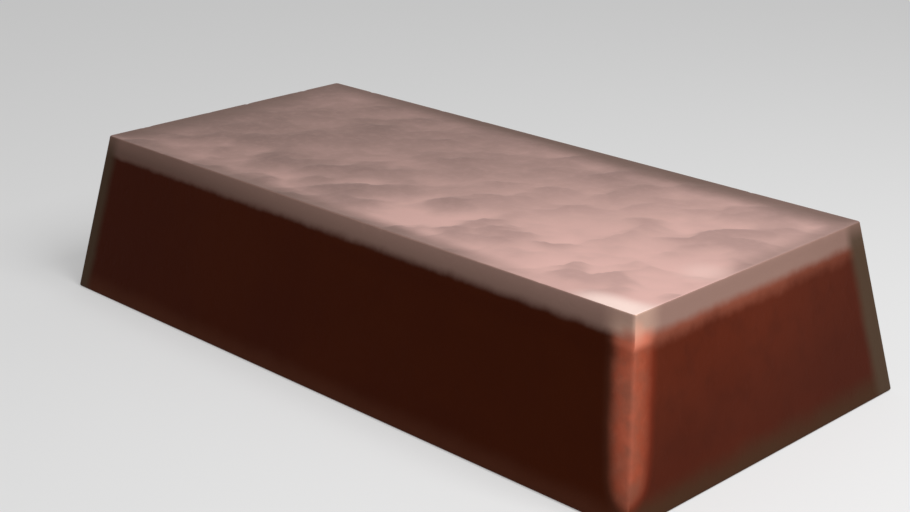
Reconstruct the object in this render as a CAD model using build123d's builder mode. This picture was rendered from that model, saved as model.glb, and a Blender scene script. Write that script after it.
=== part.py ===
from build123d import *
import os

# A copper ingot, cast as one piece in an open mould and turned out on to its poured face.
# The frame: +X along the length, +Y across the width, +Z up, origin at the middle of the underside.
# All sizes are in millimetres.

# Outline, to the sharp lines that the walls, the top face and the underside would meet in
foot_length = 250.0
foot_width = 125.5
height = 54.5

# Draft of the mould: how far each wall leans in between the underside and the top face
end_lean = 9.2
side_lean = 11.0

# Upright corners, rounded alike from the foot to the top face
corner_radius = 1.2

# Rounds on the edge of the top face and on the foot
arris_round = 0.5
foot_round = 0.8

# Shrinkage hollow, where the metal sank as it set in the poured face, inside a flat rim
rim_width = 12.0
hollow_run = 24.0
hollow_depth = 1.8
hollow_corner_radius = 6.0


def foot_outline(inset=0):
    """Length and width of the underside, less an inset on each side."""
    return foot_length - 2 * inset, foot_width - 2 * inset


with BuildPart() as ingot:
    # Drafted body, from the underside to the top face
    with BuildSketch(Plane.XY):
        RectangleRounded(*foot_outline(), corner_radius)
    with BuildSketch(Plane.XY.offset(height)):
        RectangleRounded(foot_length - 2 * end_lean, foot_width - 2 * side_lean, corner_radius)
    loft(ruled=True)

    fillet(ingot.edges().group_by(Axis.Z)[0], radius=foot_round)
    fillet(ingot.edges().group_by(Axis.Z)[-1], radius=arris_round)

    # Shrinkage hollow, sloping in from the rim to a flat floor
    with BuildSketch(Plane.XY):
        RectangleRounded(*foot_outline(rim_width), hollow_corner_radius)
    with BuildSketch(Plane.XY.offset(hollow_depth)):
        RectangleRounded(*foot_outline(rim_width + hollow_run), hollow_corner_radius)
    loft(ruled=True, mode=Mode.SUBTRACT)

ingot.part.label = "ingot"

os.makedirs("parts", exist_ok=True)
export_step(ingot.part, "parts/ingot.step")
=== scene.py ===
"""The looks of a cast copper ingot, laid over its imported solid.

The frame is the solid's own: +X along the length, +Y across the width, +Z up, with the origin at the
middle of the underside. Lengths are in millimetres, and MM turns them into metres for Blender.
"""

import logging
import math
from dataclasses import dataclass
from enum import Enum, IntEnum

import bpy
import numpy as np
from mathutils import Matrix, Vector, noise


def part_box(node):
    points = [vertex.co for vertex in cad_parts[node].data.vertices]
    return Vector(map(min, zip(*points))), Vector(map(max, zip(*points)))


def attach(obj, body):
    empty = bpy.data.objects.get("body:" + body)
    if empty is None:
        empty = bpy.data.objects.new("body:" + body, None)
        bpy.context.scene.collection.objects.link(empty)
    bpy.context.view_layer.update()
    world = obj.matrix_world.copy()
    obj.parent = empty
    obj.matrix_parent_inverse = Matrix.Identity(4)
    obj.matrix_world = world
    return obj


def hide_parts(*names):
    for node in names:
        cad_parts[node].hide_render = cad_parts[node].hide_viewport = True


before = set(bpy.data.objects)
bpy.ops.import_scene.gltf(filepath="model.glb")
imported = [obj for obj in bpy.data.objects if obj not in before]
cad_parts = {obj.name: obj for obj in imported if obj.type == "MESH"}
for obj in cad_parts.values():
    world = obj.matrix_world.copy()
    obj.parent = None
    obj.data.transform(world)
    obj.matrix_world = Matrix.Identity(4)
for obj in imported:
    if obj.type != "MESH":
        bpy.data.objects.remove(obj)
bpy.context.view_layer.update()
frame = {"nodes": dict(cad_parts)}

MM = 0.001
log = logging.getLogger("copper_ingot")

Colour = tuple[float, float, float]
Place = tuple[float, float, float]
Socket = bpy.types.NodeSocket
Source = Socket | float | Colour
ORIGIN: Place = (0.0, 0.0, 0.0)


def srgb(red: int, green: int, blue: int) -> Colour:
    """Gives a colour as Blender mixes it.

    Args:
        red, green, blue: the colour as a screen shows it, each from 0 to 255.

    Returns:
        The three parts as linear light.
    """
    parts = (value / 255 for value in (red, green, blue))
    return tuple(part / 12.92 if part <= 0.04045 else ((part + 0.055) / 1.055) ** 2.4 for part in parts)


def unit(turn: float) -> np.ndarray:
    """Gives the step of length 1 in plan that points along an angle in radians."""
    return np.array((math.cos(turn), math.sin(turn)))


def quads(table: np.ndarray) -> np.ndarray:
    """Gives the four-sided faces of a table of point numbers, facing up when it lies flat."""
    parts = (table[:-1, :-1], table[1:, :-1], table[1:, 1:], table[:-1, 1:])
    return np.stack([part.ravel() for part in parts], axis=1)


def new_object(name: str, data: bpy.types.ID) -> bpy.types.Object:
    """Puts a new object into the scene.

    Args:
        name: the object's name.
        data: its mesh, lamp or lens.

    Returns:
        The object.
    """
    made = bpy.data.objects.new(name, data)
    bpy.context.scene.collection.objects.link(made)
    return made


class Skin(IntEnum):
    """The three surfaces that take a finish of their own, as the mesh numbers them."""

    TOP = 0
    WALL = 1
    POURED = 2


class Measure(Enum):
    """What the mesh tells its finishes about each point, by the name that it carries."""

    RIPPLE = "ripple"
    RIM_REACH = "rim_reach"
    RIM_DULLING = "rim_dulling"
    HEAD_REACH = "head_reach"
    FOOT_REACH = "foot_reach"
    CORNER_REACH = "corner_reach"
    NEAR_CORNER = "near_corner"
    END_WALL = "end_wall"
    HOLLOW = "hollow"


@dataclass(frozen=True)
class Ramp:
    """A smooth change of one thing with another: where it starts and ends, and what comes out there."""

    low: float
    high: float
    start: float = 0.0
    end: float = 1.0

    def at(self, value: np.ndarray) -> np.ndarray:
        """Gives what comes out at each value."""
        share = np.clip((value - self.low) / (self.high - self.low), 0, 1)
        return self.start + (self.end - self.start) * share * share * (3 - 2 * share)


@dataclass(frozen=True)
class Clouds:
    """Smooth noise in space: how far apart its high and low places lie, its strength and its seed."""

    size: float
    strength: float
    seed: float

    def at(self, points: np.ndarray) -> np.ndarray:
        """Gives the noise at places in millimetres, one a row, up to its strength either way."""
        shifted = points / self.size + self.seed
        return self.strength * np.array([noise.noise(Vector(point)) for point in shifted.tolist()])


@dataclass(frozen=True)
class Patch:
    """A patch of the top skin, and whether the metal there set dull (below 0) or bright (above 0).

    Its size is given across the line that the metal ran along, which is (-1, 1) in plan, and along it.
    """

    x: float
    y: float
    across: float
    run: float
    tone: float


@dataclass(frozen=True)
class TopRelief:
    """The rippled skin of the top face, which set against the floor of the mould.

    Dull tongues of metal ran over a brighter bed there, so that each has a sharp front that stands
    proud of the bed, and fades behind it.
    """

    patches: tuple[Patch, ...] = (
        Patch(-70, -12, 29, 12, -0.85),
        Patch(-54, 15, 24, 14, -0.95),
        Patch(-3, 11, 27, 22, -1.15),
        Patch(-6, 24, 15, 10, -0.3),
        Patch(-26, -18, 26, 11, -0.85),
        Patch(-51, -26, 16, 14, -0.7),
        Patch(-14, -38, 13, 13, -0.9),
        Patch(-5, -24, 12, 10, -0.35),
        Patch(23, -17, 23, 11, -0.75),
        Patch(50, -31, 23, 20, -1.2),
        Patch(38, -40, 12, 10, -0.75),
        Patch(66, -26, 12, 9, -1.2),
        Patch(88, 0, 11, 9, -0.6),
        Patch(94, 9, 13, 15, -0.4),
        Patch(76, 4, 9, 9, -0.3),
        Patch(85, -38, 12, 14, -0.7),
        Patch(97, -28, 16, 16, -0.75),
        Patch(84, -4, 14, 12, -0.4),
        Patch(50, 18, 16, 12, -0.4),
        Patch(42, 36, 24, 13, -0.7),
        Patch(22, 34, 15, 12, -0.5),
        Patch(102, 22, 18, 14, -0.4),
        Patch(52, 33, 12, 10, -0.25),
        Patch(107, 9, 26, 24, -1.0),
        Patch(40, 42, 30, 13, -0.75),
        Patch(88, 34, 24, 14, -0.75),
        Patch(-17, 39, 20, 13, -0.65),
        Patch(-98, 6, 24, 20, -0.25),
        Patch(-30, 27, 20, 12, -0.25),
        Patch(-89, -37, 29, 17, 0.9),
        Patch(-80, -46, 20, 16, 0.9),
        Patch(-61, -41, 18, 17, 0.8),
        Patch(-67, -27, 13, 8, 0.6),
        Patch(-64, 38, 30, 14, 0.5),
        Patch(-97, 37, 32, 22, 0.65),
        Patch(60, -12, 28, 16, 0.85),
        Patch(57, -18, 16, 9, 0.5),
        Patch(11, 30, 14, 12, 0.4),
        Patch(12, -43, 24, 15, 0.75),
        Patch(-50, -46, 16, 12, 0.7),
        Patch(-30, -43, 14, 12, 0.75),
        Patch(-39, -36, 17, 15, 0.6),
        Patch(-15, -23, 10, 9, 0.6),
        Patch(12, -33, 15, 19, 1.1),
        Patch(25, -38, 20, 17, 1.1),
        Patch(30, -27, 20, 9, 0.9),
        Patch(88, 22, 16, 9, 0.8),
        Patch(80, -26, 12, 10, 0.5),
        Patch(79, 12, 8, 16, 0.85),
        Patch(85, -28, 10, 7, 0.75),
        Patch(61, -33, 8, 10, 0.8),
        Patch(40, 21, 11, 9, 0.5),
        Patch(37, -2, 14, 9, 0.4),
        Patch(-36, -3, 18, 15, 0.55),
        Patch(-83, 14, 22, 17, 0.65),
        Patch(105, -14, 18, 20, 0.85),
        Patch(70, -44, 34, 7, 0.45),
    )
    patch_squareness: float = 1.4
    overrun: float = 5.5
    overrun_rounds: int = 7
    warps_along_x: tuple[Clouds, ...] = (Clouds(12.0, 3.4, 3.1), Clouds(4.5, 1.3, 4.4))
    warps_along_y: tuple[Clouds, ...] = (Clouds(12.0, 3.4, 7.7), Clouds(4.5, 1.3, 9.0))
    cloud_stretch: float = 1.7
    chance_clouds: tuple[Clouds, ...] = (Clouds(7.5, 1.15, 12.3), Clouds(3.4, 0.4, 5.9))
    far_calm: Ramp = Ramp(-95.0, -35.0, 0.7, 1.0)
    back_calm: Ramp = Ramp(8.0, 30.0, 1.0, 0.85)
    flat_tone: float = 0.02
    flatness: float = 0.6
    behind_front: Ramp = Ramp(-30.0, -12.0)
    before_back: Ramp = Ramp(20.0, 36.0, 1.0, 0.0)
    before_near_end: Ramp = Ramp(62.0, 88.0, 1.0, 0.0)
    front_gain: float = 0.3
    middle_calm: float = 0.32
    tongue_rise: float = 0.24
    bed_depth: float = 0.08
    rest_depth: float = 0.26
    small_ripple: Clouds = Clouds(6.0, 0.05, 21.4)
    edge_fade: Ramp = Ramp(0.0, 3.5)

    def turned(self, x: np.ndarray | float, y: np.ndarray | float) -> tuple[np.ndarray | float, ...]:
        """Gives a place's two parts, across the line that the metal ran along and along it."""
        return (x + y) / math.sqrt(2), (y - x) / math.sqrt(2)

    def liveliness(self, points: np.ndarray) -> np.ndarray:
        """Gives how strongly the patches stand out: most along the front, least in the middle.

        Args:
            points: places on the flat top face in millimetres, one a row.

        Returns:
            About 1 at each point.
        """
        x, y = points[:, 0], points[:, 1]
        behind_front = self.behind_front.at(y)
        middle = behind_front * self.before_back.at(y) * self.before_near_end.at(x)
        return 1 + self.front_gain * (1 - behind_front) - self.middle_calm * middle

    def soft_tone(self, points: np.ndarray) -> np.ndarray:
        """Gives the patches as they would be if none had run over another.

        Args:
            points: places on the flat top face in millimetres, one a row.

        Returns:
            From about -1, the dullest, to about 1, the brightest, at each point.
        """
        bent = points.copy()
        for axis, warps in enumerate((self.warps_along_x, self.warps_along_y)):
            for warp in warps:
                bent[:, axis] += warp.at(points)
        across, along = self.turned(bent[:, 0], bent[:, 1])
        made = np.zeros(len(points))
        for patch in self.patches:
            middle_across, middle_along = self.turned(patch.x, patch.y)
            u = (across - middle_across) / (patch.across / 2)
            v = (along - middle_along) / (patch.run / 2)
            made += patch.tone * np.exp(-((u * u + v * v) ** self.patch_squareness))
        drawn_out = np.column_stack((across / self.cloud_stretch, along, np.zeros(len(points))))
        chance = sum(clouds.at(drawn_out) for clouds in self.chance_clouds)
        made += self.far_calm.at(points[:, 0]) * self.back_calm.at(points[:, 1]) * chance
        flattened = self.flat_tone + self.flatness * (made - self.flat_tone)
        return np.where(made > self.flat_tone, flattened, made)

    def tone(self, points: np.ndarray) -> np.ndarray:
        """Gives how dull or bright the skin is, with each patch run over the one before it.

        Args:
            points: places on the flat top face in millimetres, one a row.

        Returns:
            From about -1, the dullest, to about 1, the brightest, at each point.
        """
        made = self.soft_tone(points)
        ahead = np.array((-1.0, 1.0, 0.0)) / math.sqrt(2)
        for _ in range(self.overrun_rounds):
            made = (made + self.soft_tone(points + self.overrun * made[:, None] * ahead)) / 2
        return made * self.liveliness(points)

    def sink(self, points: np.ndarray, tone: np.ndarray, rim: np.ndarray) -> np.ndarray:
        """Gives how far the skin lies below the flat top face.

        Args:
            points: places on the flat top face in millimetres, one a row.
            tone: what the tone method gives for them.
            rim: how far each lies from the edge of the top face.

        Returns:
            The depth in millimetres at each point, never below zero.
        """
        risen = self.tongue_rise * np.clip(-tone, 0, 1) - self.bed_depth * np.clip(tone, 0, 1)
        depth = self.rest_depth - risen + self.small_ripple.at(points)
        return np.clip(depth, 0, None) * self.edge_fade.at(rim)


@dataclass(frozen=True)
class RimFrame:
    """The duller frame round the top face: how wide it is on each side, and how dull along that side."""

    right_width: float = 6.0
    right_level: Ramp = Ramp(-25.0, 5.0, 0.0, 0.45)
    left_width: Ramp = Ramp(26.0, 38.0, 13.0, 7.0)
    left_level: Ramp = Ramp(26.0, 38.0, 0.75, 0.45)
    back_width: Ramp = Ramp(-10.0, 35.0, 8.5, 11.5)
    back_level: Ramp = Ramp(-100.0, -30.0, 0.65, 1.02)
    back_easing: Ramp = Ramp(50.0, 90.0, 0.0, -0.12)
    front_width: float = 6.5
    front_level: Ramp = Ramp(-125.0, -25.0, 0.0, 0.7)
    front_easing: Ramp = Ramp(40.0, 85.0, 1.0, 0.22)
    blending: float = 5.0

    def at(self, x: np.ndarray, y: np.ndarray, half_x: np.ndarray, half_y: np.ndarray
           ) -> tuple[np.ndarray, np.ndarray]:
        """Gives the frame at each point.

        Args:
            x, y: the places of the points.
            half_x, half_y: half the block's length and width at their heights.

        Returns:
            How far in from the edge each point lies, as a share of the frame's width there, and how
            dull the frame is there.
        """
        sides = (
            (half_x - x, self.right_width, self.right_level.at(y)),
            (half_x + x, self.left_width.at(y), self.left_level.at(y)),
            (half_y - y, self.back_width.at(x), self.back_level.at(x) + self.back_easing.at(x)),
            (half_y + y, self.front_width, self.front_level.at(x) * self.front_easing.at(x)),
        )
        shares = np.array([distance / width for distance, width, _ in sides])
        levels = np.array([level for _, _, level in sides])
        weights = np.exp(-self.blending * shares)
        return shares.min(axis=0), (weights * levels).sum(axis=0) / weights.sum(axis=0)


@dataclass(frozen=True)
class WallRelief:
    """The skin of the walls: slow waves left by the mould's wall and a fine unevenness over them."""

    layers: tuple[Clouds, ...] = (Clouds(34.0, 0.1, 31.7), Clouds(5.0, 0.035, 44.2))
    edge_fade: Ramp = Ramp(0.0, 4.0)

    def sink(self, points: np.ndarray, edge: np.ndarray) -> np.ndarray:
        """Gives how far the wall lies inside its flat plane, never below zero.

        Args:
            points: places on the wall in millimetres, one a row.
            edge: how far each lies from the nearest edge of its wall.

        Returns:
            The depth in millimetres at each point.
        """
        depth = sum(layer.strength + layer.at(points) for layer in self.layers)
        return np.clip(depth, 0, None) * self.edge_fade.at(edge)


@dataclass(frozen=True)
class PouredRelief:
    """The poured face, now underneath: a flat rim, and inside it a hollow with shrinkage wrinkles."""

    corner: float = 16.0
    bowl: Ramp = Ramp(12.0, 36.0)
    depth: float = 1.8
    wrinkle: float = 7.5
    wrinkle_depth: float = 0.15
    wrinkle_bends: Clouds = Clouds(19.0, 3.0, 52.6)
    lumps: Clouds = Clouds(19.0, 0.3, 61.3)
    pits: Clouds = Clouds(4.0, 0.05, 72.8)
    pit_fade: Ramp = Ramp(0.5, 4.0)

    def inward(self, points: np.ndarray, half_length: float, half_width: float) -> np.ndarray:
        """Gives how far each point lies inside the outline of the foot.

        Args:
            points: places on the underside in millimetres, one a row.
            half_length: half the length of the foot.
            half_width: half its width.

        Returns:
            The distance in millimetres at each point, rounded off in the corners.
        """
        over_x = np.abs(points[:, 0]) - (half_length - self.corner)
        over_y = np.abs(points[:, 1]) - (half_width - self.corner)
        outside = np.hypot(np.clip(over_x, 0, None), np.clip(over_y, 0, None))
        return self.corner - outside - np.minimum(np.maximum(over_x, over_y), 0)

    def rise(self, points: np.ndarray, inward: np.ndarray) -> np.ndarray:
        """Gives how far the face lies above the floor.

        Args:
            points: places on the underside in millimetres, one a row.
            inward: what the inward method gives for them.

        Returns:
            The height in millimetres at each point, never below zero.
        """
        bent = inward + self.wrinkle_bends.at(points)
        wrinkles = self.wrinkle_depth * (1 + np.sin(bent * (2 * math.pi / self.wrinkle)))
        pits = np.clip(self.pits.at(points), 0, None) * self.pit_fade.at(inward)
        return (self.depth + wrinkles + self.lumps.at(points)) * self.bowl.at(inward) + pits


@dataclass(frozen=True)
class Nick:
    """A small knock on the edge of the top face: where it is, how far it reaches and how deep it is."""

    x: float
    y: float
    reach: float
    depth: float


@dataclass
class IngotCasting:
    """The one casting: a drafted block whose rounded rings run from the foot up to the top face."""

    end_lean: float = 9.2
    side_lean: float = 11.0
    corner_radius: float = 1.2
    arris_round: float = 0.5
    foot_round: float = 0.8
    along_steps: int = 224
    across_steps: int = 108
    arc_steps: int = 3
    round_steps: int = 5
    wall_steps: int = 42
    top: TopRelief = TopRelief()
    rim: RimFrame = RimFrame()
    walls: WallRelief = WallRelief()
    poured: PouredRelief = PouredRelief()
    nick_count: int = 26
    nick_seed: int = 41
    nick_span: float = 0.92
    nick_reach: tuple[float, float] = (0.8, 2.2)
    nick_depth: tuple[float, float] = (0.06, 0.22)

    def __post_init__(self) -> None:
        """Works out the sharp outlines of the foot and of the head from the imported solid's box."""
        low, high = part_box("ingot")
        size = (high - low) / MM
        self.height = size.z
        self.half_length = size.x / 2 + self.overhang(self.end_lean)
        self.half_width = size.y / 2 + self.overhang(self.side_lean)
        self.head_half_length = self.half_length - self.end_lean
        self.head_half_width = self.half_width - self.side_lean

    def angle(self, lean: float) -> float:
        """Gives the angle that a wall with this lean makes with the upright, in radians."""
        return math.atan(lean / self.height)

    def overhang(self, lean: float) -> float:
        """Gives how far the round on the foot keeps the solid inside its sharp outline."""
        angle = self.angle(lean)
        return self.foot_round * ((1 + math.sin(angle)) / math.cos(angle) - 1)

    def wall_inset(self, level: float, lean: float) -> float:
        """Gives how far a wall lies inside the sharp outline of the foot.

        Args:
            level: the height above the underside.
            lean: how far that wall leans in over the whole height.

        Returns:
            The inset in millimetres, the rounds on the foot and the top edge included.
        """
        angle = self.angle(lean)
        foot_top = self.foot_round * (1 + math.sin(angle))
        arris_start = self.height - self.arris_round * (1 - math.sin(angle))
        if level < foot_top:
            centre = foot_top / math.cos(angle)
            rise = level - self.foot_round
            return centre - math.sqrt(max(self.foot_round**2 - rise**2, 0))
        if level > arris_start:
            start = self.height - self.arris_round
            centre = start * math.tan(angle) + self.arris_round / math.cos(angle)
            return centre - math.sqrt(max(self.arris_round**2 - (level - start) ** 2, 0))
        return level * math.tan(angle)

    def levels(self) -> list[float]:
        """Gives the heights of the rings.

        Returns:
            The heights in millimetres, from the underside to the top face.
        """
        angle = self.angle((self.end_lean + self.side_lean) / 2)
        foot_turns = np.linspace(-math.pi / 2, angle, self.round_steps + 1)
        foot = [self.foot_round * (1 + math.sin(turn)) for turn in foot_turns]
        top_turns = np.linspace(angle, math.pi / 2, self.round_steps + 1)
        top = [self.height - self.arris_round * (1 - math.sin(turn)) for turn in top_turns]
        wall = np.linspace(foot[-1], top[0], self.wall_steps + 1)
        return [*foot, *wall[1:-1], *top]

    def ring(self, level: float) -> np.ndarray:
        """Gives one ring of points round the block.

        Args:
            level: the height of the ring.

        Returns:
            Its points in order, seen from above against the clock from the middle of the corner at
            -X, -Y.
        """
        end_inset = self.wall_inset(level, self.end_lean)
        side_inset = self.wall_inset(level, self.side_lean)
        radius = self.corner_radius - (side_inset - level * math.tan(self.angle(self.side_lean)))
        half_x = self.half_length - end_inset - radius
        half_y = self.half_width - side_inset - radius
        corners = np.array(((-half_x, -half_y), (half_x, -half_y), (half_x, half_y), (-half_x, half_y)))
        half_corner = math.pi / 4
        turns = [half_corner * step / self.arc_steps for step in range(self.arc_steps)]
        points = []
        for side, steps in enumerate((self.along_steps, self.across_steps) * 2):
            start, end = corners[side], corners[(side + 1) % 4]
            facing = math.radians(90 * side - 90)
            straight = steps - 2 * self.arc_steps
            edge = start + radius * unit(facing)
            points += [start + radius * unit(facing - half_corner + turn) for turn in turns]
            points += [edge + (end - start) * step / straight for step in range(straight)]
            points += [end + radius * unit(facing + turn) for turn in turns]
        return np.column_stack((points, np.full(len(points), level)))

    def ring_border(self, ring_index: np.ndarray) -> np.ndarray:
        """Lays a ring's point numbers round the border of a face.

        Args:
            ring_index: the numbers of the ring's points, in order.

        Returns:
            A table of numbers, first along the length and then across, with -1 inside the border.
        """
        along, across = self.along_steps, self.across_steps
        table = np.full((along + 1, across + 1), -1)
        closed = np.append(ring_index, ring_index[0])
        table[:, 0] = closed[: along + 1]
        table[-1, :] = closed[along : along + across + 1]
        table[:, -1] = closed[along + across : 2 * along + across + 1][::-1]
        table[0, :] = closed[2 * along + across :][::-1]
        return table

    def fill_face(self, groups: list[np.ndarray], ring_index: np.ndarray) -> np.ndarray:
        """Adds the points inside a flat face that a ring bounds.

        Args:
            groups: the groups of points made so far, which gets one more.
            ring_index: the numbers of the ring's points, in order.

        Returns:
            A table of the face's point numbers, first along the length and then across.
        """
        table = self.ring_border(ring_index)
        made = np.vstack(groups)
        u = np.linspace(0, 1, self.along_steps + 1)[1:-1, None, None]
        v = np.linspace(0, 1, self.across_steps + 1)[None, 1:-1, None]
        front, back = made[table[1:-1, 0]][:, None], made[table[1:-1, -1]][:, None]
        left, right = made[table[0, 1:-1]][None], made[table[-1, 1:-1]][None]
        corners = ((1 - u) * ((1 - v) * made[table[0, 0]] + v * made[table[0, -1]])
                   + u * ((1 - v) * made[table[-1, 0]] + v * made[table[-1, -1]]))
        inner = (1 - v) * front + v * back + (1 - u) * left + u * right - corners
        table[1:-1, 1:-1] = len(made) + np.arange(inner.shape[0] * inner.shape[1]).reshape(inner.shape[:2])
        groups.append(inner.reshape(-1, 3))
        return table

    def flat_casting(self) -> tuple[np.ndarray, np.ndarray, np.ndarray, np.ndarray]:
        """Lays out the casting before its relief.

        Returns:
            Its points in millimetres, its faces as point numbers, and the surface that each point and
            each face belongs to.
        """
        groups = [self.ring(level) for level in self.levels()]
        rings, count = len(groups), len(groups[0])
        index = np.arange(rings * count).reshape(rings, count)
        top_table = self.fill_face(groups, index[-1])
        under_table = self.fill_face(groups, index[0])
        points = np.vstack(groups)
        skin = np.full(len(points), int(Skin.WALL))
        skin[top_table] = Skin.TOP
        skin[under_table] = Skin.POURED
        wall_faces = quads(np.column_stack((index, index[:, :1])).T)
        top_faces, under_faces = quads(top_table), quads(under_table)[:, ::-1]
        half_round = self.round_steps // 2
        ring_of_face = np.tile(np.arange(rings - 1), count)
        wall_skin = np.full(len(wall_faces), int(Skin.WALL))
        wall_skin[ring_of_face >= rings - 1 - half_round] = Skin.TOP
        wall_skin[ring_of_face < half_round] = Skin.POURED
        flat_skin = np.repeat((int(Skin.TOP), int(Skin.POURED)), (len(top_faces), len(under_faces)))
        faces = np.vstack((wall_faces, top_faces, under_faces))
        return points, faces, skin, np.concatenate((wall_skin, flat_skin))

    def measures(self, points: np.ndarray, skin: np.ndarray) -> dict[Measure, np.ndarray]:
        """Works out what the finishes have to know about each point.

        Args:
            points: the flat casting's points in millimetres, one a row.
            skin: the surface that each point belongs to.

        Returns:
            One value a point for each measure, as lengths in millimetres or as shares.
        """
        x, y, z = points.T
        half_x = self.half_length - self.end_lean * z / self.height
        half_y = self.half_width - self.side_lean * z / self.height
        to_end = half_x - np.abs(x)
        to_side = half_y - np.abs(y)
        on_top = skin == Skin.TOP
        tone = np.zeros(len(points))
        tone[on_top] = self.top.tone(points[on_top] * (1, 1, 0))
        rim_reach, rim_dulling = self.rim.at(x, y, half_x, half_y)
        return {
            Measure.RIPPLE: tone,
            Measure.RIM_REACH: rim_reach,
            Measure.RIM_DULLING: rim_dulling,
            Measure.HEAD_REACH: self.height - z,
            Measure.FOOT_REACH: z,
            Measure.CORNER_REACH: np.maximum(to_end, to_side),
            Measure.NEAR_CORNER: ((x > 0) & (y < 0)).astype(float),
            Measure.END_WALL: (to_end < to_side).astype(float),
            Measure.HOLLOW: self.poured.inward(points, self.half_length, self.half_width),
        }

    def nicks(self) -> list[Nick]:
        """Gives the small knocks round the edge of the top face.

        Returns:
            The nicks, in the order in which their places are drawn.
        """
        chance = np.random.default_rng(self.nick_seed)
        made = []
        for _ in range(self.nick_count):
            place = chance.uniform(-self.nick_span, self.nick_span)
            side = chance.integers(4)
            on_long_side = side < 2
            sign = 1 if side % 2 else -1
            x = (place if on_long_side else sign) * self.head_half_length
            y = (sign if on_long_side else place) * self.head_half_width
            made.append(Nick(x, y, chance.uniform(*self.nick_reach), chance.uniform(*self.nick_depth)))
        return made

    def displaced(self, points: np.ndarray, normals: np.ndarray, skin: np.ndarray,
                  measures: dict[Measure, np.ndarray]) -> np.ndarray:
        """Presses the relief of the three surfaces into the flat casting.

        Args:
            points: the flat casting's points in millimetres, one a row.
            normals: the direction that each point faces.
            skin: the surface that each point belongs to.
            measures: what the measures method gives for them.

        Returns:
            The points of the finished casting, all inside the flat one.
        """
        made = points.copy()
        top, wall, under = (skin == surface for surface in Skin)
        to_edges = (self.head_half_length, self.head_half_width) - np.abs(points[top, :2])
        made[top, 2] -= self.top.sink(points[top], measures[Measure.RIPPLE][top], to_edges.min(axis=1))
        reaches = (Measure.HEAD_REACH, Measure.FOOT_REACH, Measure.CORNER_REACH)
        edge = np.min([measures[reach][wall] for reach in reaches], axis=0)
        made[wall] -= normals[wall] * self.walls.sink(points[wall], edge)[:, None]
        made[under, 2] += self.poured.rise(points[under], measures[Measure.HOLLOW][under])
        for nick in self.nicks():
            away = np.linalg.norm(points - (nick.x, nick.y, self.height), axis=1) / nick.reach
            sunk = nick.depth * np.clip(1 - away * away, 0, 1) ** 2
            made -= normals * sunk[:, None]
        return made

    def build(self) -> bpy.types.Object:
        """Builds the casting's mesh, with its relief and the measures that its finishes read.

        Returns:
            The casting.
        """
        points, faces, skin, face_skin = self.flat_casting()
        mesh = bpy.data.meshes.new("ingot_casting")
        mesh.from_pydata((points * MM).tolist(), [], faces.tolist())
        normals = np.zeros(points.size, np.float32)
        mesh.vertices.foreach_get("normal", normals)
        measures = self.measures(points, skin)
        made = self.displaced(points, normals.reshape(-1, 3), skin, measures)
        mesh.vertices.foreach_set("co", (made * MM).astype(np.float32).ravel())
        for measure, values in measures.items():
            layer = mesh.attributes.new(measure.value, "FLOAT", "POINT")
            layer.data.foreach_set("value", values.astype(np.float32))
        mesh.polygons.foreach_set("material_index", face_skin.astype(np.int32))
        mesh.polygons.foreach_set("use_smooth", np.ones(len(faces), bool))
        mesh.update()
        mesh.validate()
        return new_object("ingot_casting", mesh)

    def dress(self, piece: bpy.types.Object, kit: "FinishKit") -> None:
        """Gives each surface of the casting its finish.

        Args:
            piece: the casting.
            kit: the shared effects that the finishes are made with.
        """
        for finish in (TopFinish(), WallFinish(), PouredFinish()):
            piece.data.materials.append(finish.build(kit))

    def place(self, piece: bpy.types.Object) -> None:
        """Hides the solid that the casting stands in for, and hangs the casting under the root body's empty.

        Args:
            piece: the casting.
        """
        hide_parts("ingot")
        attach(piece, "root")


@dataclass(frozen=True)
class NoiseKind:
    """How fine a noise is: how many finer noises lie over the first, and how strong they are."""

    detail: float
    roughness: float


@dataclass(frozen=True)
class Zone:
    """A stretch with soft ends: where it begins to show, is full, fades again and is gone."""

    begins: float
    full: float
    fades: float
    gone: float


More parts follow.
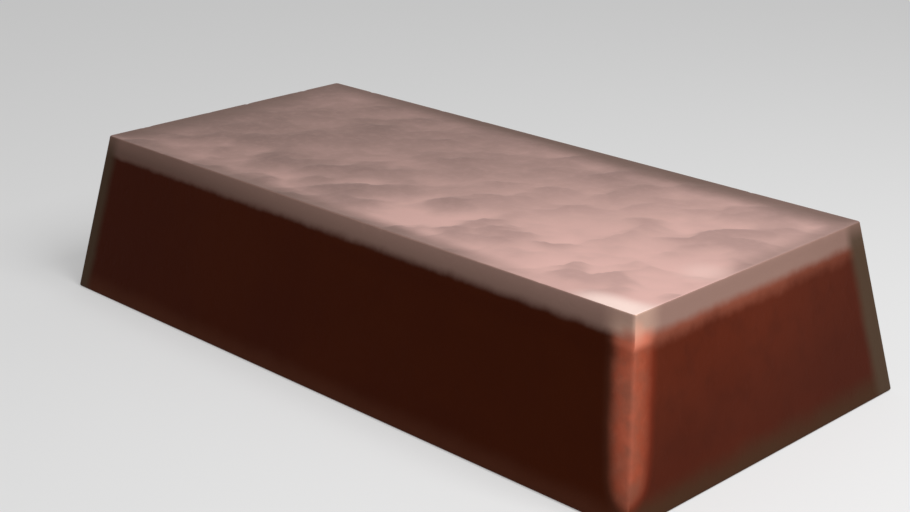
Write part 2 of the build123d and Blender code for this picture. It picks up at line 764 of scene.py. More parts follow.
class NodeSheet:
    """One node tree, with short calls for the nodes that the finishes need."""

    column_width = 190
    row_height = 260
    columns = 12

    def __init__(self, tree: bpy.types.NodeTree) -> None:
        """Starts on an empty tree.

        Args:
            tree: the tree to fill.
        """
        self.tree = tree
        self.read: dict[Measure, Socket] = {}

    @classmethod
    def of(cls, owner: bpy.types.Material | bpy.types.World) -> "NodeSheet":
        """Starts on the tree of a material or a world.

        Args:
            owner: what the tree belongs to.

        Returns:
            The sheet, with nothing on it yet.
        """
        owner.use_nodes = True
        owner.node_tree.nodes.clear()
        return cls(owner.node_tree)

    def node(self, kind: str, inputs: dict[str | int, Source] | None = None, **settings: object
             ) -> bpy.types.Node:
        """Adds a node.

        Args:
            kind: Blender's name for the kind of node.
            inputs: what its inputs take, by their names or places.
            **settings: the node's properties and their values.

        Returns:
            The new node.
        """
        row, column = divmod(len(self.tree.nodes), self.columns)
        made = self.tree.nodes.new(kind)
        made.location = (self.column_width * column, -self.row_height * row)
        for name, value in settings.items():
            setattr(made, name, value)
        for name, source in (inputs or {}).items():
            self.feed(made.inputs[name], source)
        return made

    def feed(self, socket: Socket, source: Source) -> None:
        """Links a socket to another one, or sets it to a plain value.

        Args:
            socket: the socket to feed.
            source: a socket, a number, a colour or a vector.
        """
        if isinstance(source, Socket):
            self.tree.links.new(source, socket)
        elif socket.type == "RGBA":
            socket.default_value = (*source, 1.0)
        else:
            socket.default_value = source

    def math(self, operation: str, first: Source, second: Source = 0.0) -> Socket:
        """Works out a value from one or two others, by Blender's name for the operation."""
        return self.node("ShaderNodeMath", {0: first, 1: second}, operation=operation).outputs[0]

    def times(self, first: Source, *others: Source) -> Source:
        """Multiplies masks and shares with each other.

        Args:
            first: the first mask or share.
            *others: the others, if any.

        Returns:
            Where all of them lie.
        """
        for other in others:
            first = self.math("MULTIPLY", first, other)
        return first

    def fade(self, value: Source, low: Source, high: Source, start: float = 0.0, end: float = 1.0) -> Socket:
        """Turns a value into a smooth change from start to end.

        Args:
            value: the socket to read.
            low, high: the values where the change starts and ends.
            start, end: what comes out at low and at high.

        Returns:
            The result's socket.
        """
        inputs = {"Value": value, "From Min": low, "From Max": high, "To Min": start, "To Max": end}
        return self.node("ShaderNodeMapRange", inputs, interpolation_type="SMOOTHSTEP").outputs["Result"]

    def ramp(self, value: Source, ramp: Ramp) -> Socket:
        """Gives what a ramp makes of a value."""
        return self.fade(value, ramp.low, ramp.high, ramp.start, ramp.end)

    def zone(self, value: Source, zone: Zone) -> Source:
        """Gives 1 inside a zone, and fades to 0 outside it."""
        rising = self.fade(value, zone.begins, zone.full)
        return self.times(rising, self.fade(value, zone.fades, zone.gone, 1.0, 0.0))

    def soft_edge(self, distance: Source, reach: Source, softness: Source) -> Socket:
        """Gives what lies within a reach.

        Args:
            distance: how far off each place is.
            reach: how far the mask goes.
            softness: how wide its border is.

        Returns:
            The mask's socket: 1 inside the border and 0 outside it.
        """
        half = self.math("MULTIPLY", softness, 0.5)
        inner = self.math("SUBTRACT", reach, half)
        outer = self.math("ADD", reach, half)
        return self.fade(distance, inner, outer, 1.0, 0.0)

    def mix(self, kind: str, label: str, share: Source, first: Source, second: Source) -> Socket:
        """Mixes two values.

        Args:
            kind: Blender's name for the kind of value.
            label: the ending of the names of its sockets.
            share: how much of the second value there is.
            first, second: the values.

        Returns:
            The mixed value's socket.
        """
        made = self.node("ShaderNodeMix", data_type=kind)
        sockets = {socket.identifier: socket for socket in (*made.inputs, *made.outputs)}
        self.feed(sockets["Factor_Float"], share)
        self.feed(sockets[f"A_{label}"], first)
        self.feed(sockets[f"B_{label}"], second)
        return sockets[f"Result_{label}"]

    def blend(self, share: Source, first: Source, second: Source) -> Socket:
        """Mixes two colours."""
        return self.mix("RGBA", "Color", share, first, second)

    def between(self, share: Source, first: Source, second: Source) -> Socket:
        """Mixes two numbers."""
        return self.mix("FLOAT", "Float", share, first, second)

    def clouds(self, where: Source, size: Source, kind: NoiseKind) -> Socket:
        """Gives noise from 0 to 1.

        Args:
            where: the place, in millimetres.
            size: how far apart the noise's light and dark places lie.
            kind: how fine it is.

        Returns:
            The noise's socket.
        """
        inputs = {"Vector": where, "Scale": self.math("DIVIDE", 1.0, size),
                  "Detail": kind.detail, "Roughness": kind.roughness}
        return self.node("ShaderNodeTexNoise", inputs).outputs["Fac"]

    def axis(self, vector: Source, name: str) -> Socket:
        """Gives one part of a vector: X, Y or Z."""
        return self.node("ShaderNodeSeparateXYZ", {0: vector}).outputs[name]

    def measure(self, measure: Measure) -> Socket:
        """Reads one of the measures that the mesh carries, with one node for each.

        Args:
            measure: the measure to read.

        Returns:
            Its socket.
        """
        if measure not in self.read:
            made = self.node("ShaderNodeAttribute", attribute_name=measure.value)
            self.read[measure] = made.outputs["Fac"]
        return self.read[measure]

    def millimetres(self) -> Socket:
        """Gives the place on the casting in millimetres."""
        place = self.node("ShaderNodeTexCoord").outputs["Object"]
        return self.node("ShaderNodeVectorMath", {0: place, "Scale": 1 / MM}, operation="SCALE").outputs[0]


@dataclass
class FinishKit:
    """The effects that several finishes share, each a node group that is made once."""

    broad_noise: NoiseKind = NoiseKind(3.0, 0.55)
    patch_range: Ramp = Ramp(0.32, 0.68)
    fleck_noise: NoiseKind = NoiseKind(2.0, 0.6)
    fleck_range: Ramp = Ramp(0.42, 0.72)
    grain_noise: NoiseKind = NoiseKind(3.0, 0.6)
    pit_noise: NoiseKind = NoiseKind(1.0, 0.5)
    pit_range: Ramp = Ramp(0.56, 0.74)

    def __post_init__(self) -> None:
        """Makes the groups."""
        self.wear = self.make_wear()
        self.mottle = self.make_mottle()
        self.grain = self.make_grain()
        self.spot = self.make_spot()

    def new_group(self, name: str, outputs: tuple[str, ...], inputs: dict[str, float | Place]
                  ) -> tuple[NodeSheet, dict[str, Socket], bpy.types.Node]:
        """Starts a node group.

        Args:
            name: the group's name.
            outputs: the names of its outputs, which are all numbers.
            inputs: the name of each input beside the place, and the value that it starts with, where
                a tuple of three numbers is a vector.

        Returns:
            Its sheet, its inputs by name and the node that takes its outputs.
        """
        tree = bpy.data.node_groups.new(name, "ShaderNodeTree")
        for label, value in {"Place": ORIGIN, **inputs}.items():
            kind = "NodeSocketVector" if isinstance(value, tuple) else "NodeSocketFloat"
            tree.interface.new_socket(label, in_out="INPUT", socket_type=kind).default_value = value
        for label in outputs:
            tree.interface.new_socket(label, in_out="OUTPUT", socket_type="NodeSocketFloat")
        sheet = NodeSheet(tree)
        given = sheet.node("NodeGroupInput")
        result = sheet.node("NodeGroupOutput")
        return sheet, {socket.name: socket for socket in given.outputs if socket.name}, result

    def make_wear(self) -> bpy.types.NodeTree:
        """Makes the band along an edge: full at the edge, with a ragged and soft inner border.

        Returns:
            The group.
        """
        start = {"Reach": 0.0, "Width": 5.0, "Softness": 1.0, "Raggedness": 1.0, "Grain": 6.0}
        sheet, given, result = self.new_group("edge_wear", ("Mask",), start)
        clouds = sheet.clouds(given["Place"], given["Grain"], self.broad_noise)
        swing = sheet.math("SUBTRACT", sheet.math("MULTIPLY", clouds, 2.0), 1.0)
        reach = sheet.math("ADD", given["Reach"], sheet.times(swing, given["Raggedness"]))
        sheet.feed(result.inputs["Mask"], sheet.soft_edge(reach, given["Width"], given["Softness"]))
        return sheet.tree

    def make_mottle(self) -> bpy.types.NodeTree:
        """Makes the cloudy unevenness of a scale: broad patches, and small flecks over them.

        Returns:
            The group.
        """
        start = {"Patch": 24.0, "Fleck": 5.0}
        sheet, given, result = self.new_group("scale_mottle", ("Patches", "Flecks"), start)
        broad = sheet.clouds(given["Place"], given["Patch"], self.broad_noise)
        fine = sheet.clouds(given["Place"], given["Fleck"], self.fleck_noise)
        sheet.feed(result.inputs["Patches"], sheet.ramp(broad, self.patch_range))
        sheet.feed(result.inputs["Flecks"], sheet.ramp(fine, self.fleck_range))
        return sheet.tree

    def make_grain(self) -> bpy.types.NodeTree:
        """Makes the feel of a cast skin: a fine grain with small pits, as a height.

        Returns:
            The group.
        """
        start = {"Grain": 1.2, "Pit": 3.0, "Pitting": 0.4}
        sheet, given, result = self.new_group("cast_grain", ("Height",), start)
        grain = sheet.clouds(given["Place"], given["Grain"], self.grain_noise)
        pits = sheet.ramp(sheet.clouds(given["Place"], given["Pit"], self.pit_noise), self.pit_range)
        sunk = sheet.times(pits, given["Pitting"])
        sheet.feed(result.inputs["Height"], sheet.math("SUBTRACT", grain, sunk))
        return sheet.tree

    def make_spot(self) -> bpy.types.NodeTree:
        """Makes a soft round spot about a place, such as a rubbed corner.

        Returns:
            The group.
        """
        start = {"Centre": ORIGIN, "Radius": 3.0, "Softness": 2.0}
        sheet, given, result = self.new_group("rubbed_spot", ("Mask",), start)
        ends = {0: given["Place"], 1: given["Centre"]}
        away = sheet.node("ShaderNodeVectorMath", ends, operation="DISTANCE").outputs["Value"]
        sheet.feed(result.inputs["Mask"], sheet.soft_edge(away, given["Radius"], given["Softness"]))
        return sheet.tree


@dataclass(frozen=True)
class Coating:
    """One layer on the metal: its colour, how metallic it is and how rough it is."""

    colour: Colour
    metal: float
    roughness: float


@dataclass(frozen=True)
class ByWall:
    """A number that is one thing on the long walls and another on the ends."""

    side: float
    end: float


@dataclass(frozen=True)
class Band:
    """A band along an edge.

    It has its width, the softness of its inner border, how far that border wanders, the size of those
    wanderings, and how much of what lies in it shows.
    """

    width: float | ByWall
    softness: float
    wander: float
    grain: float
    share: float = 1.0


@dataclass(frozen=True)
class Spot:
    """A soft round spot: its middle, how far it reaches, how wide its border is, and how much shows."""

    centre: Place
    radius: float
    softness: float
    share: float = 1.0


@dataclass(frozen=True)
class CastSkin:
    """How strongly the scale on the metal shines and in what colour, and the grain that is cast in it.

    The relief is the depth of the grain in millimetres, grain and pit are sizes, and pitting is how
    deep the pits are beside the grain.
    """

    specular: float
    tint: Colour
    relief: float
    grain: float
    pit: float
    pitting: float


class LayeredFinish:
    """A material in the making: coatings laid over each other by masks, and a cast grain."""

    def __init__(self, name: str, kit: FinishKit, base: Coating) -> None:
        """Starts a material with one coating all over.

        Args:
            name: the material's name.
            kit: the shared effects.
            base: the first coating.
        """
        self.material = bpy.data.materials.new(name)
        self.sheet = NodeSheet.of(self.material)
        self.kit = kit
        self.place = self.sheet.millimetres()
        self.colour: Source = base.colour
        self.metal: Source = base.metal
        self.roughness: Source = base.roughness

    def number(self, value: Source | ByWall) -> Source:
        """Gives a number that differs by wall as a socket, and any other as it is.

        Args:
            value: the number.

        Returns:
            What a node can take.
        """
        if isinstance(value, ByWall):
            return self.sheet.between(self.sheet.measure(Measure.END_WALL), value.side, value.end)
        return value

    def effect(self, tree: bpy.types.NodeTree, output: str, inputs: dict[str, Source]) -> Socket:
        """Places one of the shared effects, by its group, the output that is wanted and its inputs."""
        made = self.sheet.node("ShaderNodeGroup", {"Place": self.place, **inputs}, node_tree=tree)
        return made.outputs[output]

    def cover(self, coating: Coating, *masks: Source | ByWall) -> None:
        """Lays a coating over what is there.

        Args:
            coating: what it is.
            *masks: masks and shares. It lies where all of them do.
        """
        mask = self.sheet.times(*(self.number(part) for part in masks))
        self.colour = self.sheet.blend(mask, self.colour, coating.colour)
        self.metal = self.sheet.between(mask, self.metal, coating.metal)
        self.roughness = self.sheet.between(mask, self.roughness, coating.roughness)

    def shown(self, mask: Socket, share: float) -> Source:
        """Gives a mask thinned to a share of itself."""
        return mask if share == 1.0 else self.sheet.times(mask, share)

    def band(self, reach: Source, band: Band) -> Source:
        """Gives a band along an edge.

        Args:
            reach: the distance from that edge.
            band: its width and its border.

        Returns:
            The mask.
        """
        inputs = {"Reach": reach, "Width": self.number(band.width), "Softness": band.softness,
                  "Raggedness": band.wander, "Grain": band.grain}
        return self.shown(self.effect(self.kit.wear, "Mask", inputs), band.share)

    def spot(self, spot: Spot, place: Socket | None = None) -> Source:
        """Gives a soft round spot.

        Args:
            spot: where it is and how large.
            place: the place on the casting, where it isn't read as it is.

        Returns:
            The mask.
        """
        inputs = {"Place": place or self.place, "Centre": spot.centre, "Radius": spot.radius,
                  "Softness": spot.softness}
        return self.shown(self.effect(self.kit.spot, "Mask", inputs), spot.share)

    def patches(self, size: float) -> Socket:
        """Gives broad cloudy patches of a size."""
        return self.effect(self.kit.mottle, "Patches", {"Patch": size})

    def flecks(self, size: float) -> Socket:
        """Gives small flecks of a size."""
        return self.effect(self.kit.mottle, "Flecks", {"Fleck": size})

    def finish(self, cast: CastSkin) -> bpy.types.Material:
        """Closes the material with its shader.

        Args:
            cast: the shine of its scale and its grain.

        Returns:
            The material.
        """
        sheet = self.sheet
        grain = {"Grain": cast.grain, "Pit": cast.pit, "Pitting": cast.pitting}
        height = self.effect(self.kit.grain, "Height", grain)
        relief = {"Strength": 1.0, "Distance": cast.relief * MM, "Height": height}
        bump = sheet.node("ShaderNodeBump", relief)
        shader = sheet.node("ShaderNodeBsdfPrincipled", {
            "Base Color": self.colour, "Metallic": self.metal, "Roughness": self.roughness,
            "Specular IOR Level": cast.specular, "Specular Tint": cast.tint,
            "Normal": bump.outputs["Normal"]})
        sheet.node("ShaderNodeOutputMaterial", {"Surface": shader.outputs["BSDF"]})
        return self.material


@dataclass(frozen=True)
class TopFinish:
    """The pale, rosy top skin, with painted light: brightest by the near corner, greyer away from it."""

    skin: Coating = Coating(srgb(188, 153, 146), 0.35, 0.52)
    dull: Coating = Coating(srgb(82, 65, 61), 0.25, 0.6)
    bright: Coating = Coating(srgb(232, 188, 180), 0.45, 0.46)
    # the base that shows far from the near corner, in painted shade
    grey: Coating = Coating(srgb(137, 111, 104), 0.3, 0.58)
    frame: Coating = Coating(srgb(112, 90, 82), 0.3, 0.6)
    # painted highlight colour for the glints
    painted_glint: Coating = Coating(srgb(255, 230, 221), 0.4, 0.4)
    cast: CastSkin = CastSkin(0.3, srgb(255, 225, 210), 0.05, 1.1, 3.2, 0.5)
    near_corner: Place = (115.0, -51.0, 54.5)
    # painted light: spots that brighten the top towards the near corner
    painted_light_spread: Spot = Spot(near_corner, 135.0, 230.0)
    painted_light_reach: Spot = Spot(near_corner, 61.0, 122.0, 0.85)
    painted_light_bed_reach: Spot = Spot(near_corner, 110.0, 190.0)
    far_bed_share: float = 0.35
    cloud_size: float = 30.0
    cloud_share: float = 0.04
    fleck_size: float = 3.0
    fleck_share: float = 0.06
    # the ripple's tone: partly the skin's own dull and bright patches, partly painted shade and light of the
    # relief
    tongues: Ramp = Ramp(0.1, -1.1, 0.0, 0.3)
    bed: Ramp = Ramp(-0.15, 0.55, 0.0, 0.42)
    bed_crests: Ramp = Ramp(0.4, 1.0, 0.0, 0.45)
    frame_band: Band = Band(0.75, 1.1, 0.12, 5.0)
    # painted highlights: a glint along the front edge, a gleam on the end edge and one on the near corner
    front_glint: Spot = Spot((53.8, -50.0, 54.5), 5.2, 6.8, 0.88)
    glint_squeeze: Place = (0.5, 1.0, 1.0)
    edge_gleam: Spot = Spot((109.0, -14.0, 54.5), 5.5, 9.0, 0.22)
    corner_gleam: Spot = Spot(near_corner, 6.5, 11.0, 0.95)

    def build(self, kit: FinishKit) -> bpy.types.Material:
        """Makes the material.

        Args:
            kit: the shared effects.

        Returns:
            The material.
        """
        made = LayeredFinish("top_skin", kit, self.grey)
        sheet = made.sheet
        ripple = sheet.measure(Measure.RIPPLE)
        # painted light: skin and brighter skin laid towards the near corner over the grey base
        made.cover(self.skin, made.spot(self.painted_light_spread))
        made.cover(self.bright, made.spot(self.painted_light_reach))
        made.cover(self.dull, made.patches(self.cloud_size), self.cloud_share)
        # partly painted shade: the dull tongues also stand for the shade on their fronts
        made.cover(self.dull, sheet.ramp(ripple, self.tongues))
        # painted light: the bright bed shows most near the near corner
        bed_share = sheet.between(made.spot(self.painted_light_bed_reach), self.far_bed_share, 1.0)
        for ramp in (self.bed, self.bed_crests):
            made.cover(self.bright, bed_share, sheet.ramp(ripple, ramp))
        made.cover(self.bright, made.flecks(self.fleck_size), self.fleck_share)
        frame_mask = made.band(sheet.measure(Measure.RIM_REACH), self.frame_band)
        made.cover(self.frame, frame_mask, sheet.measure(Measure.RIM_DULLING))
        # painted highlights in near-white copper by the near corner
        squeezed = {0: made.place, 1: self.glint_squeeze}
        place = sheet.node("ShaderNodeVectorMath", squeezed, operation="MULTIPLY").outputs[0]
        made.cover(self.painted_glint, made.spot(self.front_glint, place))
        made.cover(self.painted_glint, made.spot(self.edge_gleam))
        made.cover(self.painted_glint, made.spot(self.corner_gleam))
        return made.finish(self.cast)


class WallLayers(LayeredFinish):
    """The walls' material in the making, with the masks and the distances that its coats share."""

    def __init__(self, name: str, kit: FinishKit, base: Coating) -> None:
        """Starts the material, and reads which wall a place is on and how far from its edges.

        Args:
            name: the material's name.
            kit: the shared effects.
            base: the first coating.
        """
        super().__init__(name, kit, base)
        self.end = self.sheet.measure(Measure.END_WALL)
        self.side = self.sheet.math("SUBTRACT", 1.0, self.end)
        self.near = self.sheet.measure(Measure.NEAR_CORNER)
        self.head = self.sheet.measure(Measure.HEAD_REACH)
        self.foot = self.sheet.measure(Measure.FOOT_REACH)
        self.corner = self.sheet.measure(Measure.CORNER_REACH)
        self.x = self.sheet.axis(self.place, "X")
        self.y = self.sheet.axis(self.place, "Y")


@dataclass(frozen=True)
class WallFinish:
    """The walls: dark oxide, a pale band at the head, a dull foot, and one corner worn to copper and painted
    bright as painted light.
    """

    side_oxide: Coating = Coating(srgb(62, 22, 8), 0.2, 0.62)
    side_patch: Coating = Coating(srgb(69, 27, 10), 0.2, 0.66)
    end_oxide: Coating = Coating(srgb(92, 37, 21), 0.25, 0.58)
    end_patch: Coating = Coating(srgb(103, 44, 27), 0.3, 0.54)
    end_dark: Coating = Coating(srgb(70, 30, 20), 0.2, 0.62)
    side_foot: Coating = Coating(srgb(88, 48, 34), 0.1, 0.7)
    end_foot: Coating = Coating(srgb(72, 50, 35), 0.1, 0.7)
    corner_film: Coating = Coating(srgb(83, 67, 53), 0.15, 0.66)
    head: Coating = Coating(srgb(158, 126, 115), 0.3, 0.56)
    # painted shade for the head band
    painted_band_shade: Coating = Coating(srgb(72, 53, 45), 0.2, 0.6)
    head_fringe: Coating = Coating(srgb(151, 86, 68), 0.5, 0.5)
    bare: Coating = Coating(srgb(166, 82, 60), 0.8, 0.44)
    bare_film: Coating = Coating(srgb(132, 90, 74), 0.4, 0.55)
    bare_edge: Coating = Coating(srgb(150, 60, 40), 0.7, 0.48)
    # painted highlights and painted light of the near corner
    painted_arris_highlight: Coating = Coating(srgb(188, 102, 78), 0.8, 0.42)
    painted_highlight_spot: Coating = Coating(srgb(228, 134, 108), 0.8, 0.4)
    painted_hot_highlight: Coating = Coating(srgb(255, 182, 156), 0.7, 0.4)
    painted_light_head_corner: Coating = Coating(srgb(206, 170, 152), 0.4, 0.5)
    cast: CastSkin = CastSkin(0.07, srgb(255, 170, 130), 0.05, 1.0, 3.6, 0.6)

    patch_size: float = 34.0
    patch_share: ByWall = ByWall(0.6, 0.7)
    fleck_size: float = 8.0
    fleck_share: ByWall = ByWall(0.0, 0.28)
    darker_down: Ramp = Ramp(12.0, 40.0, 0.0, 0.55)
    darker_back: Ramp = Ramp(-20.0, 45.0, 0.0, 0.55)
    side_foot_band: Band = Band(4.0, 8.0, 1.6, 12.0, 0.85)
    end_foot_band: Band = Band(5.5, 9.0, 2.2, 12.0, 0.9)

    strip_band: Band = Band(6.2, 5.0, 0.55, 5.0)
    halo_band: Band = Band(8.5, 4.6, 0.55, 5.0)
    # painted highlight along the ridge of the near corner
    arris_highlight_band: Band = Band(2.6, 4.2, 0.55, 5.0, 0.6)
    strip_strength: Ramp = Ramp(2.0, 30.0, 0.72, 1.0)
    strip_point: ByWall = ByWall(11.0, 12.9)
    strip_taper: Ramp = Ramp(8.0, 22.0, 0.6, 0.0)
    halo_film_share: ByWall = ByWall(0.2, 0.0)
    halo_edge_share: ByWall = ByWall(0.0, 0.5)
    film_spot_size: float = 5.2
    film_spot_share: ByWall = ByWall(0.48, 0.36)
    speck_size: float = 4.0
    speck_share: float = 0.3
    low_film: Zone = Zone(5.0, 8.0, 10.5, 14.0)
    low_film_share: ByWall = ByWall(0.0, 0.45)

    fringe_band: Band = Band(9.0, 5.0, 1.9, 8.0)
    fringe_share: Ramp = Ramp(-10.0, 48.0, 0.85, 0.45)
    head_band: Band = Band(ByWall(5.9, 6.3), 3.4, 0.85, 6.0)
    # painted shade on the head band: downwards and to the left on the long walls, towards the back on the
    # ends
    shade_down: Ramp = Ramp(0.5, 6.5, 0.0, 0.34)
    shade_left: Ramp = Ramp(30.0, -110.0, 0.0, 0.32)
    shade_back: Ramp = Ramp(10.0, 54.0, 0.0, 0.14)
    pale_reach: Band = Band(8.0, 8.0, 0.8, 5.0, 0.78)
    pale_down: Ramp = Ramp(0.5, 5.0, 0.6, 1.0)
    # painted highlights of bright copper under the head band at the near corner
    painted_light_reach: Band = Band(6.9, 6.0, 1.0, 4.0)
    painted_highlight_zone: Zone = Zone(3.4, 7.0, 7.4, 10.0)
    painted_highlight_share: ByWall = ByWall(0.14, 0.92)
    hot_highlight_reach: Spot = Spot((116.4, -51.6, 49.6), 2.6, 3.8)
    hot_highlight_share: ByWall = ByWall(0.1, 0.48)

    blush_zone: Zone = Zone(2.5, 5.5, 6.0, 8.5)
    blush_reach: Band = Band(4.0, 4.0, 0.6, 4.0, 0.5)
    neck_zone: Zone = Zone(8.0, 10.0, 11.0, 14.0)
    neck_share: Ramp = Ramp(4.0, 8.0, 0.15, 0.5)
    film_band: Band = Band(ByWall(5.4, 7.6), 5.4, 0.9, 9.0)
    film_full_below: ByWall = ByWall(8.5, 5.5)
    film_share_at_head: float = 0.42
    film_share: float = 0.94

    def build(self, kit: FinishKit) -> bpy.types.Material:
        """Makes the material.

        Args:
            kit: the shared effects.

        Returns:
            The material.
        """
        made = WallLayers("wall_oxide", kit, self.side_oxide)
        for lay in (self.lay_oxide, self.lay_foot, self.lay_strip, self.lay_head, self.lay_head_corner,
                    self.lay_neck, self.lay_corner_film):
            lay(made)
        return made.finish(self.cast)

    def lay_oxide(self, made: WallLayers) -> None:
        """Lays the oxide: darker on the long walls, redder on the ends, where it darkens downwards.

        Args:
            made: the material in the making.
        """
        patches = made.patches(self.patch_size)
        made.cover(self.side_patch, patches, self.patch_share.side)
        made.cover(self.end_oxide, made.end)
        made.cover(self.end_patch, made.end, patches, self.patch_share.end)
        made.cover(self.end_dark, made.end, made.sheet.ramp(made.head, self.darker_down))
        made.cover(self.end_dark, made.flecks(self.fleck_size), self.fleck_share)
        made.cover(self.end_dark, made.end, made.sheet.ramp(made.y, self.darker_back))

    def lay_foot(self, made: WallLayers) -> None:
        """Lays the dull film that creeps up from the foot."""
        made.cover(self.side_foot, made.band(made.foot, self.side_foot_band), made.side)
        made.cover(self.end_foot, made.band(made.foot, self.end_foot_band), made.end)

    def strip_reach(self, made: WallLayers) -> Socket:
        """Gives the distance that the near strip is measured by, so that it ends in a round point.

        Args:
            made: the material in the making.

        Returns:
            The distance from the corner, and lower down from the point above the foot.
        """
        sheet = made.sheet
        below = sheet.math("MAXIMUM", sheet.math("SUBTRACT", made.number(self.strip_point), made.foot), 0.0)
        squares = sheet.math("ADD", sheet.times(made.corner, made.corner), sheet.times(below, below))
        return sheet.math("ADD", sheet.math("SQRT", squares), sheet.ramp(made.foot, self.strip_taper))

    def lay_strip(self, made: WallLayers) -> None:
        """Lays worn copper up the near corner, painted bright as painted light, with spots of film, thicker
        on the side.

        Args:
            made: the material in the making.
        """
        sheet = made.sheet
        reach = self.strip_reach(made)
        kept = sheet.times(made.near, sheet.ramp(made.foot, self.strip_strength))
        halo = sheet.times(made.band(reach, self.halo_band), kept)
        strip = sheet.times(made.band(reach, self.strip_band), kept)
        made.cover(self.bare_film, halo, self.halo_film_share)
        made.cover(self.bare_edge, halo, self.halo_edge_share)
        # partly worn copper, partly painted light: only this corner is painted bright, the other three get a
        # dull film
        made.cover(self.bare, strip)
        # painted highlight along the ridge, and bright specks in its colour below
        made.cover(self.painted_arris_highlight, made.band(reach, self.arris_highlight_band), kept)
        made.cover(self.bare_film, strip, made.patches(self.film_spot_size), self.film_spot_share)
        made.cover(self.painted_arris_highlight, strip, made.flecks(self.speck_size), self.speck_share)
        made.cover(self.bare_film, strip, sheet.zone(made.foot, self.low_film), self.low_film_share)

    def lay_head(self, made: WallLayers) -> None:
        """Lays the pale band at the head of the walls, with its reddish fringe on the ends, and painted
        shade over the band.

        Args:
            made: the material in the making.
        """
        sheet = made.sheet
        fringe = made.band(made.head, self.fringe_band)
        made.cover(self.head_fringe, fringe, made.end, sheet.ramp(made.y, self.fringe_share))
        band = made.band(made.head, self.head_band)
        made.cover(self.head, band)
        # painted shade: the band darkens away from the near corner
        downwards, left = sheet.ramp(made.head, self.shade_down), sheet.ramp(made.x, self.shade_left)
        on_side, on_end = sheet.math("ADD", downwards, left), sheet.ramp(made.y, self.shade_back)
        made.cover(self.painted_band_shade, band, sheet.between(made.end, on_side, on_end))

    def lay_head_corner(self, made: WallLayers) -> None:
        """Lays painted light at the near corner: a paler band, and painted highlights of bright copper just
        under it.

        Args:
            made: the material in the making.
        """
        sheet = made.sheet
        band = made.band(made.head, self.head_band)
        by_corner = made.band(made.corner, self.pale_reach)
        downwards = sheet.between(made.end, sheet.ramp(made.head, self.pale_down), 1.0)
        # painted light: the head band is paler at the near corner
        made.cover(self.painted_light_head_corner, band, by_corner, made.near, downwards)
        # painted highlights just under the band at the near corner
        under_band = sheet.zone(made.head, self.painted_highlight_zone)
        by_corner = made.band(made.corner, self.painted_light_reach)
        made.cover(self.painted_highlight_spot, under_band, by_corner, made.near, self.painted_highlight_share)
        made.cover(self.painted_hot_highlight, made.spot(self.hot_highlight_reach), self.hot_highlight_share)

    def lay_neck(self, made: WallLayers) -> None:
        """Lays the blush low on the long wall's band at the near corner, and the darker neck under it.

        Args:
            made: the material in the making.
        """
        sheet = made.sheet
        here = sheet.times(made.near, made.side)
        by_corner = made.band(made.corner, self.blush_reach)
        made.cover(self.bare, sheet.zone(made.head, self.blush_zone), by_corner, here)
        narrowed = sheet.ramp(made.corner, self.neck_share)
        made.cover(self.side_oxide, sheet.zone(made.head, self.neck_zone), here, narrowed)

    def lay_corner_film(self, made: WallLayers) -> None:
        """Lays the dull film up the other three corners, thinner where it crosses the band.

        Args:
            made: the material in the making.
        """
        sheet = made.sheet
        full_below = made.number(self.film_full_below)
        share = sheet.fade(made.head, 0.0, full_below, self.film_share_at_head, self.film_share)
        away_from_near = sheet.math("SUBTRACT", 1.0, made.near)
        made.cover(self.corner_film, made.band(made.corner, self.film_band), share, away_from_near)


@dataclass(frozen=True)
class PouredFinish:
    """The poured face underneath: a rough oxide that is darkest in the hollow, and a rubbed rim."""

    oxide: Coating = Coating(srgb(104, 58, 42), 0.3, 0.62)
    deep: Coating = Coating(srgb(74, 40, 30), 0.2, 0.7)
    rim: Coating = Coating(srgb(160, 104, 84), 0.6, 0.46)
    cast: CastSkin = CastSkin(0.2, srgb(255, 190, 150), 0.1, 1.4, 4.2, 0.8)
    patch_size: float = 22.0
    hollow: Ramp = Ramp(8.0, 40.0)
    deep_share: float = 0.4
    rim_band: Band = Band(9.5, 9.0, 4.0, 13.0)
    rubbed_share: float = 0.62
    rubbed_patch_share: float = 0.3

    def build(self, kit: FinishKit) -> bpy.types.Material:
        """Makes the material.

        Args:
            kit: the shared effects.

        Returns:
            The material.
        """
        made = LayeredFinish("poured_face", kit, self.oxide)
        sheet = made.sheet
        inward = sheet.measure(Measure.HOLLOW)
        patches = made.patches(self.patch_size)
        depths = sheet.math("ADD", sheet.ramp(inward, self.hollow), patches)
        made.cover(self.deep, depths, self.deep_share)
        rubbed = sheet.between(patches, self.rubbed_share, self.rubbed_patch_share)
        made.cover(self.rim, made.band(inward, self.rim_band), rubbed)
        return made.finish(self.cast)


def seen_ray(sheet: NodeSheet) -> Socket:
    """Tells rays that look at a thing from rays that only carry its light.

    Args:
        sheet: the tree that asks.

    Returns:
        1 where the thing is looked at, mirrored or seen through, and 0 elsewhere.
    """
    path = sheet.node("ShaderNodeLightPath").outputs
    straight = sheet.math("MAXIMUM", path["Is Camera Ray"], path["Is Glossy Ray"])
    return sheet.math("MAXIMUM", straight, path["Is Transmission Ray"])


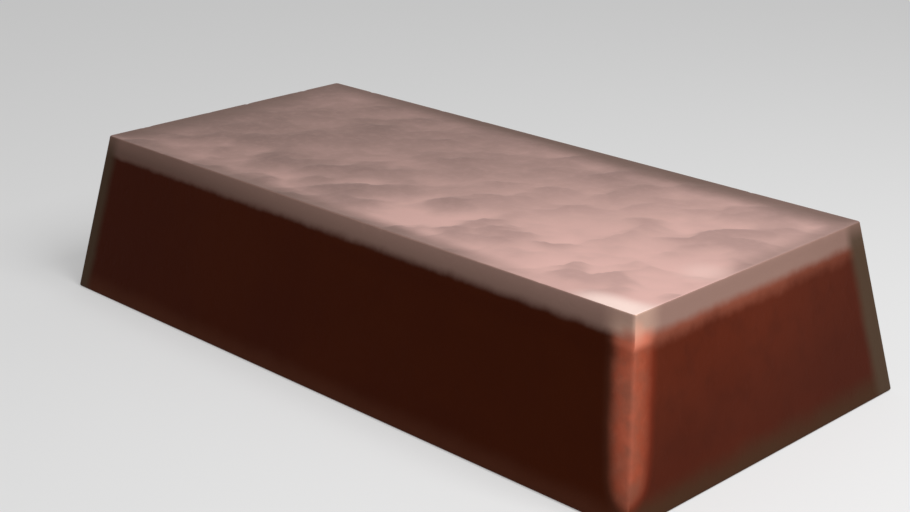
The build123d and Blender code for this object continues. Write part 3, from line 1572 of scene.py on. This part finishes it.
@dataclass(frozen=True)
class StudioFloor:
    """The plain pale floor, a hair under the ingot so that no two faces lie in one plane.

    Its level and half its size are in metres.
    """

    level: float = -0.00005
    half_size: float = 4.0
    colour: Colour = (0.5, 0.5, 0.5)
    seen_glow: float = 0.36

    def build(self) -> bpy.types.Object:
        """Builds the floor, which looks paler than the light that it throws back.

        Returns:
            The floor.
        """
        mesh = bpy.data.meshes.new("floor")
        signs = ((-1, -1), (1, -1), (1, 1), (-1, 1))
        corners = [(x * self.half_size, y * self.half_size, self.level) for x, y in signs]
        mesh.from_pydata(corners, [], [(0, 1, 2, 3)])
        material = bpy.data.materials.new("floor")
        sheet = NodeSheet.of(material)
        matt = sheet.node("ShaderNodeBsdfDiffuse", {"Color": self.colour})
        glow = sheet.node("ShaderNodeEmission", {"Strength": sheet.times(seen_ray(sheet), self.seen_glow)})
        both = sheet.node("ShaderNodeAddShader", {0: matt.outputs["BSDF"], 1: glow.outputs["Emission"]})
        sheet.node("ShaderNodeOutputMaterial", {"Surface": both.outputs["Shader"]})
        mesh.materials.append(material)
        floor = new_object("floor", mesh)
        return floor


@dataclass(frozen=True)
class StudioLight:
    """The soft studio light: one large lamp high on the +X side and a plain grey room.

    Its places and its width are in metres.
    """

    place: Place = (0.40, -0.01, 0.52)
    aim: Place = (0.0, 0.0, 0.04)
    width: float = 0.35
    power: float = 3.1
    room: float = 0.26
    room_seen: float = 0.85

    def build(self) -> None:
        """Hangs the lamp and lights the room."""
        lamp = bpy.data.lights.new("soft_lamp", "AREA")
        lamp.shape = "SQUARE"
        lamp.size = self.width
        lamp.energy = self.power
        holder = new_object("soft_lamp", lamp)
        holder.location = self.place
        facing = Vector(self.aim) - Vector(self.place)
        holder.rotation_euler = facing.to_track_quat("-Z", "Y").to_euler()
        world = bpy.data.worlds.new("studio_room")
        sheet = NodeSheet.of(world)
        strength = sheet.between(seen_ray(sheet), self.room, self.room_seen)
        room = sheet.node("ShaderNodeBackground", {"Color": (1.0, 1.0, 1.0), "Strength": strength})
        sheet.node("ShaderNodeOutputWorld", {"Surface": room.outputs["Background"]})
        bpy.context.scene.world = world


@dataclass(frozen=True)
class PhotoCamera:
    """The camera, at the photograph's angle on the ingot, with its angles in degrees."""

    azimuth: float = 45.025
    elevation: float = 20.038
    distance: float = 548.325
    right_offset: float = -0.098
    up_offset: float = -0.077
    field_of_view: float = 29.95
    nearest: float = 10.0

    def build(self, target_height: float) -> bpy.types.Object:
        """Places the camera and makes it the scene's own.

        Args:
            target_height: the height of the point that it is aimed past.

        Returns:
            The camera.
        """
        turn, rise = math.radians(self.azimuth), math.radians(self.elevation)
        back = Vector((math.sin(turn) * math.cos(rise), -math.cos(turn) * math.cos(rise), math.sin(rise)))
        right = Vector((math.cos(turn), math.sin(turn), 0.0))
        up = back.cross(right)
        middle = Vector((0.0, 0.0, target_height))
        place = middle + back * self.distance + right * self.right_offset + up * self.up_offset
        lens = bpy.data.cameras.new("photo_camera")
        lens.sensor_fit = "HORIZONTAL"
        lens.angle = math.radians(self.field_of_view)
        lens.clip_start = self.nearest * MM
        camera = new_object("photo_camera", lens)
        camera.location = place * MM
        camera.rotation_euler = back.to_track_quat("Z", "Y").to_euler()
        bpy.context.scene.camera = camera
        return camera


def main() -> None:
    """Builds the ingot and the studio round it, and reports each piece."""
    logging.basicConfig(level=logging.INFO, format="%(name)s: %(message)s")
    bpy.context.scene.view_settings.view_transform = "Standard"
    casting = IngotCasting()
    piece = casting.build()
    casting.dress(piece, FinishKit())
    casting.place(piece)
    log.info("%s: %d faces, %.1f mm high", piece.name, len(piece.data.polygons), casting.height)
    floor = StudioFloor().build()
    log.info("%s: laid", floor.name)
    StudioLight().build()
    camera = PhotoCamera().build(casting.height / 2)
    log.info("%s: %.2f mm lens", camera.name, camera.data.lens)


if __name__ == "__main__":
    main()
